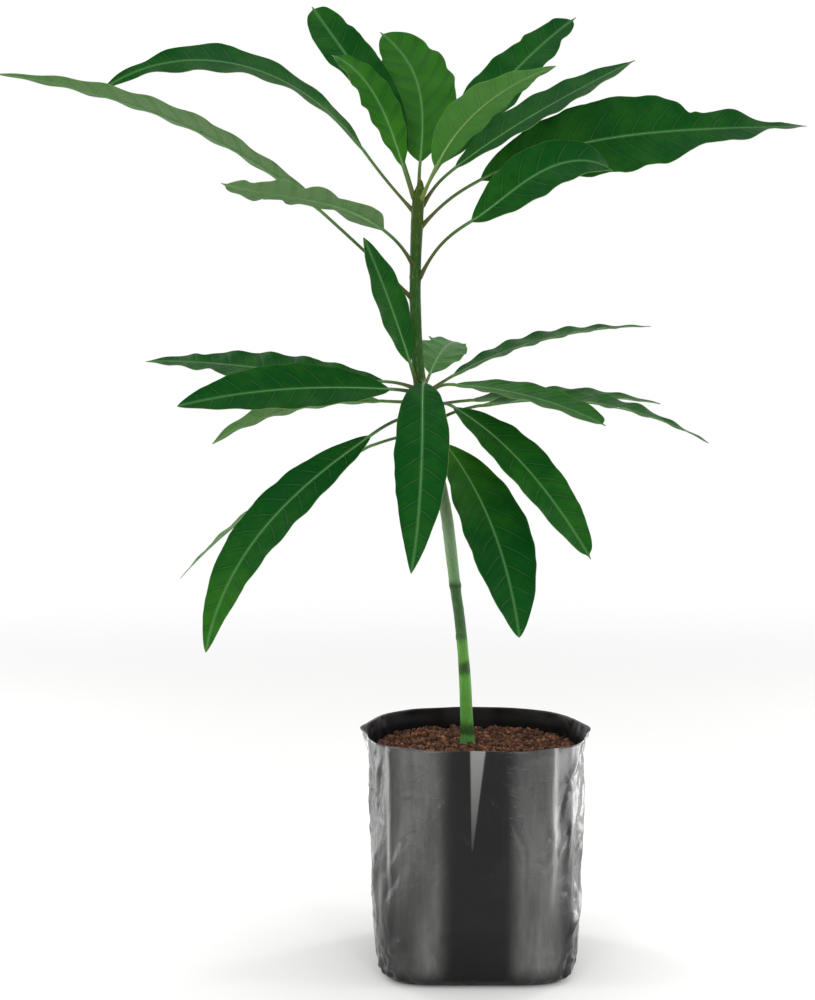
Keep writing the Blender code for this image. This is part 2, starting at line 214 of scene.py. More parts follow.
CAMERA_PLACE = (-0.055, -1.6, 0.516)
CAMERA_TILT = 5.05
FLOOR_SIZE = 30
FLOOR_GAP = 0.5 * MM


# ---------------------------------------------------------------- tools


def shape_of(thing):
    """The mesh's points, as an array with a row for each."""
    points = np.empty(len(thing.data.vertices) * 3, np.float32)
    thing.data.vertices.foreach_get("co", points)
    return points.reshape(-1, 3).astype(float)


def reshape(thing, points):
    thing.data.vertices.foreach_set("co", np.asarray(points, np.float32).ravel())
    thing.data.update()


def add_sheet(name, across, along):
    """A grid of unit size with its own map, ready to be shaped."""
    bpy.ops.object.select_all(action="DESELECT")
    bpy.ops.mesh.primitive_grid_add(x_subdivisions=across, y_subdivisions=along, size=1)
    thing = bpy.context.object
    thing.name = name
    thing.data.name = name
    thing.data.uv_layers[0].name = "Pattern"
    places = shape_of(thing)[:, :2] + 0.5
    return thing, places[:, 0], places[:, 1]


def in_edit_mode(thing, *steps):
    """Runs edit-mode operators on the whole mesh. Each step is an operator and its settings."""
    bpy.ops.object.select_all(action="DESELECT")
    thing.select_set(True)
    bpy.context.view_layer.objects.active = thing
    bpy.ops.object.mode_set(mode="EDIT")
    bpy.ops.mesh.select_all(action="SELECT")
    for operator, settings in steps:
        operator(**settings)
    bpy.ops.object.mode_set(mode="OBJECT")


def close_tube(thing):
    """Joins a rolled sheet along its seam, and closes its ends."""
    in_edit_mode(
        thing,
        (bpy.ops.mesh.remove_doubles, {"threshold": SEAM}),
        (bpy.ops.mesh.fill_holes, {"sides": 0}),
        (bpy.ops.mesh.normals_make_consistent, {"inside": False}),
    )


def apply_modifier(thing, kind, **settings):
    modifier = thing.modifiers.new(kind.title(), kind)
    for name, value in settings.items():
        setattr(modifier, name, value)
    bpy.ops.object.select_all(action="DESELECT")
    thing.select_set(True)
    bpy.context.view_layer.objects.active = thing
    bpy.ops.object.modifier_apply(modifier=modifier.name)


def join(first, *others):
    bpy.ops.object.select_all(action="DESELECT")
    for thing in (first, *others):
        thing.select_set(True)
    bpy.context.view_layer.objects.active = first
    bpy.ops.object.join()
    return first


def set_point_value(thing, name, values):
    store = thing.data.attributes.new(name, "FLOAT", "POINT")
    store.data.foreach_set("value", np.asarray(values, np.float32))


def corner_points(thing):
    corners = np.empty(len(thing.data.loops), np.int32)
    thing.data.loops.foreach_get("vertex_index", corners)
    return corners


def read_map(thing, name):
    values = np.empty(len(thing.data.loops) * 2, np.float32)
    thing.data.uv_layers[name].data.foreach_get("uv", values)
    return values.reshape(-1, 2)


def write_map(thing, name, values):
    layer = thing.data.uv_layers.get(name) or thing.data.uv_layers.new(name=name)
    layer.data.foreach_set("uv", np.asarray(values, np.float32).ravel())


def face_materials(thing):
    """The material number of the face that each corner belongs to."""
    numbers = np.empty(len(thing.data.polygons), np.int32)
    thing.data.polygons.foreach_get("material_index", numbers)
    counts = np.empty(len(thing.data.polygons), np.int32)
    thing.data.polygons.foreach_get("loop_total", counts)
    return np.repeat(numbers, counts)


def smooth_step(t):
    t = np.clip(t, 0, 1)
    return t * t * (3 - 2 * t)


def wobble(x, y, z=0.0):
    """Smooth noise from -1 to 1 at each place of one or more arrays."""
    x, y, z = np.broadcast_arrays(x, y, z)
    flat = zip(x.ravel().tolist(), y.ravel().tolist(), z.ravel().tolist())
    return np.array([noise.noise(Vector(p)) for p in flat]).reshape(x.shape)


def apart(angle, degrees):
    """The turn from one heading to each angle, from -pi to pi."""
    return (angle - np.radians(degrees) + math.pi) % math.tau - math.pi


def hand_in(thing, slot, *nodes):
    """Rides on the plant's one body in place of the solids it stands for."""
    thing.data.shade_smooth()
    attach(thing, "root")
    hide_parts(*nodes)
    return thing


# ---------------------------------------------------------------- materials


def linear(hex_colour):
    """An sRGB hex colour as a linear one, opaque."""
    channels = [int(hex_colour[i : i + 2], 16) / 255 for i in (0, 2, 4)]
    straight = [c / 12.92 if c <= 0.04045 else ((c + 0.055) / 1.055) ** 2.4 for c in channels]
    return (*straight, 1)


def add_node(tree, kind, links=None, out=None, stops=(), **settings):
    """Adds one node with its settings and links, and gives back its output.

    A ramp's stops are each a place from 0 to 1 and a colour.
    """
    made = tree.nodes.new(kind)
    for name, value in settings.items():
        setattr(made, name, value)
    for number, (place, colour) in enumerate(stops):
        elements = made.color_ramp.elements
        stop = elements[number] if number < len(elements) else elements.new(1.0)
        stop.position = place
        stop.color = linear(colour)
    for socket, value in (links or {}).items():
        if isinstance(value, bpy.types.NodeSocket):
            tree.links.new(value, made.inputs[socket])
        else:
            made.inputs[socket].default_value = value
    return made.outputs[out] if out else next(o for o in made.outputs if o.enabled)


def new_material(name, **sockets):
    material = bpy.data.materials.new(name)
    material.use_nodes = True
    tree = material.node_tree
    shader = tree.nodes["Principled BSDF"]
    for socket, value in sockets.items():
        shader.inputs[socket.replace("_", " ")].default_value = value
    return material, tree, shader


def wire(tree, shader, **sources):
    """Links outputs to the shader's sockets of those names."""
    for socket, source in sources.items():
        tree.links.new(source, shader.inputs[socket.replace("_", " ")])


MATHS = "ShaderNodeMath"
MIX = "ShaderNodeMix"
NOISE = "ShaderNodeTexNoise"
STRETCH = "ShaderNodeMapRange"
RAMP = "ShaderNodeValToRGB"
BUMP = "ShaderNodeBump"
COORDINATES = "ShaderNodeTexCoord"
AXES = "ShaderNodeSeparateXYZ"
MAPPING = "ShaderNodeMapping"
ATTRIBUTE = "ShaderNodeAttribute"


def leaf_face(name, old, young, painted_shade_colour, vein, roughness, vein_strength, vein_height):
    """Mango leaf, upper or under side: a waxed skin over a net of veins.

    The Pattern map holds the distance from the midrib in metres, and a count that grows by one
    at each modelled side vein. Each second one is drawn pale, on the left and right by turns.
    """
    material, tree, shader = new_material(
        name,
        Roughness=roughness,
        IOR=1.45,
        Specular_IOR_Level=0.07,
        Specular_Tint=linear("b4ffc0"),
    )
    place = add_node(tree, COORDINATES, out="Object")
    pattern = add_node(tree, "ShaderNodeUVMap", uv_map="Pattern")
    across = add_node(tree, AXES, {0: pattern}, out="X")
    count = across.node.outputs["Y"]
    youth = add_node(tree, ATTRIBUTE, attribute_name="youth", out="Fac")
    edge = add_node(tree, ATTRIBUTE, attribute_name="edge", out="Fac")

    # Clouding about 25 mm across, as on any leaf that has grown in patches of shade.
    cloud = add_node(
        tree, NOISE, {"Vector": place, "Scale": 1 / 0.025, "Detail": 3.0, "Roughness": 0.6}
    )
    shift = add_node(tree, STRETCH, {0: cloud, 1: 0.3, 2: 0.7, 3: -0.08, 4: 0.1})
    aged = add_node(tree, MATHS, {0: youth, 1: shift}, operation="ADD", use_clamp=True)
    plain = add_node(tree, MIX, {0: aged, 6: linear(old), 7: linear(young)}, data_type="RGBA")

    # Side veins, pale lines about 1 mm wide, drawn a little wider than real so that they show.
    bend = add_node(tree, NOISE, {"Vector": place, "Scale": 1 / 0.012, "Detail": 1.0})
    bent = add_node(tree, MATHS, {0: bend, 1: 0.22, 2: count}, operation="MULTIPLY_ADD")
    turn = add_node(tree, MATHS, {0: bent, 1: 1.0}, operation="PINGPONG")
    # The leaf is quilted, and its hollows get painted shade: a soft dark band lies along each drawn
    # vein.
    painted_vein_shade = add_node(
        tree, STRETCH, {0: turn, 1: 0.0, 2: 0.45, 3: 0.38, 4: 0.0}, interpolation_type="SMOOTHSTEP"
    )
    skin = add_node(tree, MIX, {0: painted_vein_shade, 6: plain, 7: linear(painted_shade_colour)}, data_type="RGBA")
    side_vein = add_node(tree, STRETCH, {0: turn, 1: 0.0, 2: 0.08, 3: 1.0, 4: 0.0})
    # The fine net between them, with cells about 1.3 mm across.
    net = add_node(
        tree,
        "ShaderNodeTexVoronoi",
        {"Vector": place, "Scale": 1 / 0.0013},
        feature="DISTANCE_TO_EDGE",
    )
    mesh_vein = add_node(tree, STRETCH, {0: net, 1: 0.0, 2: 0.12, 3: 1.0, 4: 0.0})
    fine = add_node(tree, MATHS, {0: mesh_vein, 1: 0.18}, operation="MULTIPLY")
    lines = add_node(tree, MATHS, {0: side_vein, 1: fine}, operation="MAXIMUM")
    # The veins fade towards the margin, which has a thin yellowish rim.
    fade = add_node(
        tree, STRETCH, {0: edge, 1: 0.55, 2: 1.0, 3: vein_strength, 4: vein_strength * 0.25}
    )
    drawn = add_node(tree, MATHS, {0: lines, 1: fade}, operation="MULTIPLY")
    veined = add_node(tree, MIX, {0: drawn, 6: skin, 7: linear(vein)}, data_type="RGBA")
    rim = add_node(tree, STRETCH, {0: edge, 1: 0.975, 2: 0.995, 3: 0.0, 4: 0.14})
    rimmed = add_node(tree, MIX, {0: rim, 6: veined, 7: linear("7f9648")}, data_type="RGBA")
    distance = add_node(tree, MATHS, {0: across}, operation="ABSOLUTE")
    beside = add_node(tree, STRETCH, {0: distance, 1: 0.0005, 2: 0.0018, 3: 0.25, 4: 0.0})
    shown = add_node(tree, MIX, {0: beside, 6: rimmed, 7: linear(vein)}, data_type="RGBA")

    # The wax is uneven, so the shine breaks up at a few millimetres.
    wax = add_node(tree, NOISE, {"Vector": place, "Scale": 1 / 0.006, "Detail": 4.0})
    gloss = add_node(
        tree, STRETCH, {0: wax, 1: 0.3, 2: 0.7, 3: roughness - 0.06, 4: roughness + 0.08}
    )
    height = add_node(tree, MATHS, {0: lines, 1: vein_height, 2: wax}, operation="MULTIPLY_ADD")
    relief = add_node(
        tree, BUMP, {"Height": height, "Strength": 0.3, "Distance": 0.00012}, out="Normal"
    )
    wire(tree, shader, Base_Color=shown, Roughness=gloss, Normal=relief)
    return material


def leaf_rib():
    """Midrib and stalk: smooth, pale and firm, browner at the swollen foot."""
    material, tree, shader = new_material(
        "mango_midrib", Roughness=0.45, IOR=1.45, Specular_IOR_Level=0.2
    )
    place = add_node(tree, COORDINATES, out="Object")
    along = add_node(tree, ATTRIBUTE, attribute_name="along", out="Fac")
    youth = add_node(tree, ATTRIBUTE, attribute_name="youth", out="Fac")
    greens = (
        (0.0, "34300f"),
        (0.1, "343f14"),
        (0.3, "2b461b"),
        (0.48, "3a6230"),
        (0.56, "5a8452"),
        (1.0, "356438"),
    )
    colours = add_node(tree, RAMP, {0: along}, out="Color", stops=greens)
    fresh = add_node(tree, MATHS, {0: youth, 1: 0.4}, operation="MULTIPLY")
    skin = add_node(tree, MIX, {0: fresh, 6: colours, 7: linear("7f9c48")}, data_type="RGBA")
    streak = add_node(tree, NOISE, {"Vector": place, "Scale": 1 / 0.003, "Detail": 4.0})
    dull = add_node(tree, STRETCH, {0: streak, 1: 0.4, 2: 0.75, 3: 0.0, 4: 0.3})
    worn = add_node(tree, MIX, {0: dull, 6: skin, 7: linear("35341a")}, data_type="RGBA")
    relief = add_node(
        tree, BUMP, {"Height": streak, "Strength": 0.35, "Distance": 0.0002}, out="Normal"
    )
    wire(tree, shader, Base_Color=worn, Normal=relief)
    return material


def green_bark():
    """Young mango bark: green and smooth near the foot, then grey-brown and finely ridged."""
    material, tree, shader = new_material(
        "young_mango_bark", Roughness=0.55, IOR=1.45, Specular_IOR_Level=0.1
    )
    place = add_node(tree, COORDINATES, out="Object")
    height = add_node(tree, AXES, {0: place}, out="Z")
    patch = add_node(tree, NOISE, {"Vector": place, "Scale": 1 / 0.02, "Detail": 3.0})
    spread = add_node(tree, STRETCH, {0: patch, 1: 0.3, 2: 0.7, 3: -0.002, 4: 0.002})
    moved = add_node(tree, MATHS, {0: height, 1: spread}, operation="ADD")
    climb = add_node(tree, STRETCH, {0: moved, 1: 0.17, 2: 0.64, 3: 0.0, 4: 1.0})
    # Each stop is a height: the foot with its dark ring, bright green, the band of scars where
    # the graft healed, the corky grey-green length, and the fresh dark top.
    heights = (
        (0.0, "3c6a30"),
        (0.02, "3f7230"),
        (0.026, "24401a"),
        (0.04, "294a1e"),
        (0.048, "4a7c30"),
        (0.128, "4c8032"),
        (0.134, "2a451e"),
        (0.147, "2c4820"),
        (0.153, "4c7c32"),
        (0.186, "4e7e36"),
        (0.196, "30502c"),
        (0.278, "34542f"),
        (0.285, "263c20"),
        (0.296, "5c7c54"),
        (0.36, "668060"),
        (0.42, "55684a"),
        (0.6, "1e4014"),
        (0.82, "1f4012"),
        (0.93, "2c400f"),
        (1.0, "34440f"),
    )
    colours = add_node(tree, RAMP, {0: climb}, out="Color", stops=heights)
    # Stretched along the stem, so that cracks and corky flecks run upwards.
    grain_place = add_node(tree, MAPPING, {"Vector": place, "Scale": (1, 1, 0.22)})
    grain = add_node(
        tree, NOISE, {"Vector": grain_place, "Scale": 1 / 0.0014, "Detail": 5.0, "Roughness": 0.65}
    )
    fleck = add_node(tree, STRETCH, {0: grain, 1: 0.55, 2: 0.72, 3: 0.0, 4: 0.28})
    flecked = add_node(tree, MIX, {0: fleck, 6: colours, 7: linear("7d8a62")}, data_type="RGBA")
    crack = add_node(tree, STRETCH, {0: grain, 1: 0.32, 2: 0.45, 3: 0.45, 4: 0.0})
    cracked = add_node(tree, MIX, {0: crack, 6: flecked, 7: linear("1c2210")}, data_type="RGBA")
    relief = add_node(
        tree, BUMP, {"Height": grain, "Strength": 0.5, "Distance": 0.0004}, out="Normal"
    )
    wire(tree, shader, Base_Color=cracked, Normal=relief)
    return material


def black_film():
    """Black polythene film, blown and heat-sealed: glossy and dusty, with painted sheen and painted
    highlights in pale bands and folds, partly stress whitening on the folds.
    """
    material, tree, shader = new_material(
        "black_polythene_film", Roughness=0.22, IOR=1.5, Specular_IOR_Level=0.27
    )
    place = add_node(tree, COORDINATES, out="Object")
    dust = add_node(
        tree, NOISE, {"Vector": place, "Scale": 1 / 0.03, "Detail": 6.0, "Roughness": 0.7}
    )
    share = add_node(tree, STRETCH, {0: dust, 1: 0.5, 2: 0.8, 3: 0.0, 4: 0.35})
    dusty = add_node(
        tree, MIX, {0: share, 6: linear("050506"), 7: linear("181817")}, data_type="RGBA"
    )
    # Painted sheen and highlights: pale bands and folds, broken into streaks that run up the film.
    # On the folds part of it is stress whitening.
    stress_and_sheen = add_node(tree, ATTRIBUTE, attribute_name="stress_and_sheen", out="Fac")
    upright = add_node(tree, MAPPING, {"Vector": place, "Scale": (1, 1, 0.16)})
    streak = add_node(
        tree, NOISE, {"Vector": upright, "Scale": 1 / 0.007, "Detail": 4.0, "Roughness": 0.6}
    )
    broken = add_node(tree, STRETCH, {0: streak, 1: 0.25, 2: 0.7, 3: 0.6, 4: 1.15})
    streaked = add_node(tree, MATHS, {0: stress_and_sheen, 1: broken}, operation="MULTIPLY")
    # Painted highlight: the dart in the middle of the front shows as a pale wedge, wide at the rim,
    # with its point 111 mm up, in place of the light its small fold catches.
    side = add_node(tree, AXES, {0: place}, out="X")
    down = add_node(tree, STRETCH, {0: side.node.outputs["Z"], 1: 0.111, 2: 0.189, 3: 0.0, 4: 1.0})
    middle = add_node(tree, MATHS, {0: down, 1: 0.0043, 2: -0.0053}, operation="MULTIPLY_ADD")
    aside = add_node(tree, MATHS, {0: side, 1: middle}, operation="SUBTRACT")
    distance = add_node(tree, MATHS, {0: aside}, operation="ABSOLUTE")
    half = add_node(tree, MATHS, {0: down, 1: 0.0055, 2: 0.0004}, operation="MULTIPLY_ADD")
    share_out = add_node(tree, MATHS, {0: distance, 1: half}, operation="DIVIDE")
    wedge = add_node(
        tree,
        STRETCH,
        {0: share_out, 1: 0.8, 2: 1.15, 3: 1.0, 4: 0.0},
        interpolation_type="SMOOTHSTEP",
    )
    strength = add_node(tree, STRETCH, {0: down, 1: 0.0, 2: 1.0, 3: 0.05, 4: 0.5})
    front = add_node(tree, STRETCH, {0: side.node.outputs["Y"], 1: -0.05, 2: -0.04, 3: 1.0, 4: 0.0})
    faced = add_node(tree, MATHS, {0: strength, 1: front}, operation="MULTIPLY")
    pale = add_node(tree, MATHS, {0: wedge, 1: faced, 2: streaked}, operation="MULTIPLY_ADD")
    above = add_node(tree, STRETCH, {0: down, 1: 0.0, 2: 0.02, 3: 0.0, 4: 1.0})
    grey = add_node(tree, MIX, {0: above, 2: streaked, 3: pale}, data_type="FLOAT")
    colour = add_node(tree, MIX, {0: grey, 6: dusty, 7: linear("9a9a98")}, data_type="RGBA")
    gloss = add_node(tree, STRETCH, {0: dust, 1: 0.35, 2: 0.75, 3: 0.12, 4: 0.28})
    # Crinkles about 9 mm across, finer than the folds in the shape.
    crinkle = add_node(
        tree, NOISE, {"Vector": place, "Scale": 1 / 0.009, "Detail": 3.0, "Distortion": 1.2}
    )
    height = add_node(tree, MATHS, {0: streak, 1: 0.25, 2: crinkle}, operation="MULTIPLY_ADD")
    relief = add_node(
        tree, BUMP, {"Height": height, "Strength": 0.35, "Distance": 0.0008}, out="Normal"
    )
    wire(tree, shader, Base_Color=colour, Roughness=gloss, Normal=relief)
    return material


def inner_film():
    """The film's inner side: the same black polythene, dulled by damp dust from the mix."""
    material, tree, shader = new_material(
        "black_polythene_inside", Roughness=0.42, IOR=1.5, Specular_IOR_Level=0.3
    )
    place = add_node(tree, COORDINATES, out="Object")
    dust = add_node(
        tree, NOISE, {"Vector": place, "Scale": 1 / 0.012, "Detail": 6.0, "Roughness": 0.7}
    )
    share = add_node(tree, STRETCH, {0: dust, 1: 0.5, 2: 0.75, 3: 0.0, 4: 0.3})
    colour = add_node(
        tree, MIX, {0: share, 6: linear("060505"), 7: linear("1c140f")}, data_type="RGBA"
    )
    relief = add_node(
        tree, BUMP, {"Height": dust, "Strength": 0.3, "Distance": 0.001}, out="Normal"
    )
    wire(tree, shader, Base_Color=colour, Normal=relief)
    return material


def coco_mix(name, dark, middle, light):
    """Cocopeat: a matte, crumbly brown in clumps of 4 to 5 mm and grains of about 1 mm."""
    material, tree, shader = new_material(name, Roughness=0.95, IOR=1.4)
    place = add_node(tree, COORDINATES, out="Object")
    grains = add_node(
        tree, NOISE, {"Vector": place, "Scale": 1 / 0.0045, "Detail": 6.0, "Roughness": 0.7}
    )
    browns = ((0.3, dark), (0.52, middle), (0.72, light))
    colours = add_node(tree, RAMP, {0: grains}, out="Color", stops=browns)
    fine = add_node(tree, NOISE, {"Vector": place, "Scale": 1 / 0.0012, "Detail": 4.0})
    relief = add_node(
        tree, BUMP, {"Height": fine, "Strength": 0.8, "Distance": 0.0006}, out="Normal"
    )
    wire(tree, shader, Base_Color=colours, Normal=relief)
    return material


# ---------------------------------------------------------------- stem


def stem_at(height):
    """The stem's middle and radius at each height, in metres."""
    rings = np.array(STEM_RINGS, float) * MM
    x, y = (np.interp(height, rings[:, 0], rings[:, k]) for k in (1, 2))
    middle = np.stack([x, y, height], axis=-1)
    return middle, np.interp(height, rings[:, 0], rings[:, 3])


def smooth_stem_at(height):
    """The same, with the corners between the rings rounded over a short length each way."""
    spread = np.linspace(-1, 1, 9) * ROUNDED_OVER
    low, high = STEM_RINGS[0][0] * MM, STEM_RINGS[-1][0] * MM
    found = [stem_at(np.clip(height + shift, low, high)) for shift in spread]
    middle = np.mean([f[0] for f in found], axis=0)
    middle[..., 2] = height
    return middle, stem_at(height)[1]


def make_stem(bark):
    """The stem with its ridged bark, leaf scars, corky pores and the bud at its tip."""
    stem, around, up = add_sheet("mango_stem", 56, 520)
    write_map(stem, "OFBake", read_map(stem, "Pattern"))
    low, high = STEM_RINGS[0][0] * MM, STEM_RINGS[-1][0] * MM
    height = low + (high - low) * up
    angle = math.tau * around
    middle, radius = smooth_stem_at(height)
    flare = np.clip(1 - (height - low) / FLARE_HEIGHT, 0, 1) ** 2
    relief = radius * 0.05 * flare * np.cos(FLARE_LOBES * angle)
    ring_x, ring_y = np.cos(angle), np.sin(angle)
    # Fine ridges run up the stem, and broad ones make it a little out of round.
    relief += 0.22 * MM * wobble(ring_x * 1.4, ring_y * 1.4, height * 18)
    relief += 0.12 * MM * wobble(ring_x * 4.5, ring_y * 4.5, height * 60)
    relief += 0.06 * MM * wobble(ring_x * 11, ring_y * 11, height * 150)
    for scar_height, scar_angle, scar_size in SCARS:
        aside = np.abs(apart(angle, scar_angle)) * radius
        rise = height - scar_height * MM
        size = scar_size * MM
        reach = (aside / size) ** 2 + (rise / (0.55 * size)) ** 2
        relief += 0.55 * MM * np.exp(-reach) - 0.4 * MM * np.exp(-reach * 6)
        crescent = (aside / size) ** 2 + ((rise + 0.8 * size) / (0.25 * size)) ** 2
        relief += 0.3 * MM * np.exp(-crescent)
    for leaf in LEAVES:
        aside = np.abs(apart(angle, leaf.stalk_heading)) * radius
        rise = height - (leaf.seat - 0.6) * MM
        # Each stalk stands on a small swelling.
        relief += 0.75 * MM * np.exp(-((aside / (2.6 * MM)) ** 2) - (rise / (3.0 * MM)) ** 2)
    close = smooth_step((high - height) / (6 * MM))
    reach = radius + relief * (0.3 + 0.7 * close)
    points = middle + np.stack([ring_x * reach, ring_y * reach, 0 * reach], axis=-1)
    # The foot stands in the mix, so it runs down a little into the crumbs.
    points[:, 2] = np.where(up < 1e-4, low - STEM_FOOT, points[:, 2])
    reshape(stem, points)
    close_tube(stem)
    stem.data.materials.append(bark)
    return hand_in(stem, "stem_bark", "stem")


# Height in millimetres, heading in degrees and half width in millimetres of each old leaf's scar.
SCARS = (
    (213, 250, 2.2),
    (237, 60, 2.4),
    (262, 190, 2.4),
    (286, 320, 2.2),
    (304, 240, 2.8),
    (305, 20, 2.6),
    (303, 130, 2.6),
    (331, 280, 2.2),
    (352, 150, 2.4),
    (371, 30, 2.2),
    (388, 255, 2.4),
    (404, 120, 2.2),
    (419, 330, 2.2),
    (492, 250, 2.2),
    (514, 60, 2.2),
    (553, 200, 2.2),
    (579, 290, 2.2),
)


# ---------------------------------------------------------------- leaves


def direction(heading, rise):
    heading, rise = np.radians(heading), np.radians(rise)
    level = np.cos(rise)
    return np.stack([np.cos(heading) * level, np.sin(heading) * level, np.sin(rise)], axis=-1)


def through(three, f):
    """A smooth value along a leaf that has the three given ones at base, middle and tip."""
    base, middle, tip = three
    return base * (1 - f) * (1 - 2 * f) + middle * 4 * f * (1 - f) + tip * f * (2 * f - 1)


def midline(leaf):
    """Distance from the blade's base, place, across and up along a leaf, foot to tip."""
    middle, radius = stem_at(np.array(leaf.seat * MM))
    out = direction(leaf.stalk_heading, 0)
    seat = middle + out * (radius + STALK_GAP)
    t = (np.arange(STALK_STEPS) + 0.5) / STALK_STEPS
    eased = smooth_step(t)
    stalk = direction(
        leaf.stalk_heading + (leaf.heading[0] - leaf.stalk_heading) * eased,
        leaf.stalk_rise + (leaf.rise[0] - leaf.stalk_rise) * eased,
    )
    f = (np.arange(BLADE_STEPS) + 0.5) / BLADE_STEPS
    blade = direction(through(leaf.heading, f), through(leaf.rise, f))
    stalk_moves = stalk * leaf.stalk * MM / STALK_STEPS
    blade_moves = blade * leaf.length * MM / BLADE_STEPS
    moves = np.concatenate([stalk_moves, blade_moves])
    places = np.concatenate([[seat], seat + np.cumsum(moves, axis=0)])
    runs = np.concatenate([[0], np.cumsum(np.linalg.norm(moves, axis=1))]) - leaf.stalk * MM
    headings = np.concatenate([stalk[:1], (moves[1:] + moves[:-1]), blade[-1:]])
    headings /= np.linalg.norm(headings, axis=1)[:, None]
    level = np.stack([-headings[:, 1], headings[:, 0], 0 * headings[:, 0]], axis=-1)
    level /= np.linalg.norm(level, axis=1)[:, None]
    lifted = np.cross(headings, level)
    roll = np.radians(through(leaf.roll, np.clip(runs / (leaf.length * MM), 0, 1)))[:, None]
    across = level * np.cos(roll) + lifted * np.sin(roll)
    up = lifted * np.cos(roll) - level * np.sin(roll)
    # The foot goes into the stem.
    first = places[0] - headings[0] * STALK_FOOT
    places = np.concatenate([[first], places])
    runs = np.concatenate([[runs[0] - STALK_FOOT], runs])
    return runs, places, np.concatenate([across[:1], across]), np.concatenate([up[:1], up])


def follow(line, run):
    """Place, across and up at each distance along a midline."""
    runs, *tracks = line
    found = []
    for track in tracks:
        found.append(np.stack([np.interp(run, runs, track[:, k]) for k in range(3)], axis=-1))
    return found


def half_width(leaf, f):
    skew = math.log(0.5) / math.log(WIDEST_AT)
    arch = np.clip(np.sin(math.pi * np.clip(f, 0, 1) ** skew), 0, 1)
    power = np.where(f < WIDEST_AT, BASE_POWER, leaf.tip_power)
    return leaf.width / 2 * MM * arch**power


# Leaf, side (1 left of the heading, -1 right, 0 both), place from base to tip, length, and how
# much of the half width is gained there, or lost to a tear or a pinch.
EDGES = (
    ("upper_leaf_right_long", 1, 0.655, 0.016, -0.25),
    ("upper_leaf_right_long", 0, 0.69, 0.04, -0.32),
    ("upper_leaf_right_long", 0, 0.83, 0.07, 0.55),
    ("upper_leaf_right_long", 0, 0.95, 0.03, 2.2),
    ("upper_leaf_right_long", 0, 0.99, 0.025, 4.0),
    ("upper_leaf_left_front", -1, 0.70, 0.016, -0.42),
    ("upper_leaf_left_front", -1, 0.60, 0.02, -0.2),
    ("upper_leaf_left_front", 1, 0.86, 0.03, -0.3),
    ("upper_leaf_left_front", 0, 0.07, 0.04, 0.3),
    ("upper_leaf_left_front", 0, 0.32, 0.1, -0.62),
    ("upper_leaf_left_front", 0, 0.56, 0.09, -0.4),
    ("upper_leaf_left_arching", 0, 0.64, 0.08, 0.15),
    ("upper_leaf_left_arching", 0, 0.84, 0.05, -0.3),
    ("upper_leaf_left_arching", 0, 0.3, 0.12, -0.15),
    ("upper_leaf_left_long", 0, 0.25, 0.12, -0.15),
    ("top_leaf_back_left", 1, 0.36, 0.27, -0.72),
    ("top_leaf_back_left", -1, 0.8, 0.03, -0.1),
    ("top_leaf_back_broad", -1, 0.74, 0.035, -0.12),
    ("top_leaf_back_broad", -1, 0.58, 0.03, -0.07),
    ("top_leaf_back_broad", 1, 0.82, 0.03, -0.1),
    ("top_leaf_back_right", 1, 0.72, 0.03, -0.14),
    ("top_leaf_back_right", 1, 0.93, 0.03, 0.25),
    ("top_leaf_back_right", -1, 0.85, 0.03, -0.18),
    ("lower_leaf_left_back", -1, 0.78, 0.03, -0.3),
    ("lower_leaf_left_back", 1, 0.7, 0.03, -0.15),
    ("lower_leaf_right_long", 1, 0.8, 0.03, -0.25),
    ("lower_leaf_back", 1, 0.6, 0.03, -0.25),
    ("top_leaf_narrow", 1, 0.5, 0.03, 0.12),
)


def blade_form(leaf, number, side, f):
    """How far across and up a blade's points stand from its midline, and its vein count.

    side runs from -1 at the right margin to 1 at the left, and f from the base to the tip.
    """
    out = np.abs(side)
    hand = np.sign(side)
    ripple = math.tau * (leaf.waves * f + 0.37 * hand + 0.173 * number)
    swell = np.clip(np.sin(math.pi * np.clip(f, 0, 1)), 0, 1) ** 0.6
    uneven = 1 + 0.03 * wobble(f * 7, hand * 3.1 + number, 0.5)
    uneven -= 0.014 * leaf.wave * np.sin(ripple + 0.8) * swell
    uneven += 0.025 * wobble(f * leaf.length / 7, hand * 5.3 + number, 1.5)
    for name, edge, place, length, change in EDGES:
        if name == leaf.name:
            here = change * np.exp(-(((f - place) / length) ** 2))
            uneven += np.where((hand == edge) | (edge == 0), here, 0)
    # A blunt leaf still ends in a short drip tip.
    drip = DRIP_TIP * np.clip((1 - f) / 0.05, 0, 1) ** 0.9 * (f > 0.9)
    body_end = 0.975 if leaf.tip_power < BLUNT_TIP else 1
    body = half_width(leaf, np.clip(f / body_end, 0, 1))
    width = np.maximum(np.maximum(body, drip) * uneven, 0.9 * MM * (1 - f) + 0.25 * MM)
    reach = width * out
    lift = math.sin(FOLD_ANGLE) * (np.sqrt(reach**2 + (2 * MM) ** 2) - 2 * MM)
    lift += leaf.curl * width * out**3
    lift += leaf.wave * MM * swell * out**1.7 * np.sin(ripple)
    lift += 0.35 * leaf.wave * MM * swell * out**1.2 * wobble(f * 11, side * 1.3, number * 1.7)
    # Side veins leave the midrib by turns, lean forward and bend up near the margin.
    run = f * leaf.length * MM
    lean = SIDE_VEIN_SLANT * reach + 14 * reach**2
    by_turns = 0.5 * hand * np.clip(reach / (2 * MM), 0, 1)
    count = (run - lean) / SIDE_VEIN_SPACING + by_turns
    groove = np.abs((count + 0.5) % 1 - 0.5)
    inside = smooth_step((out - 0.03) / 0.12) * smooth_step((1 - out) / 0.15)
    lift += inside * swell * (QUILT_RISE * (1 - np.exp(-((groove / 0.2) ** 2))) - QUILT_SINK)
    return reach * hand * math.cos(FOLD_ANGLE), lift, count


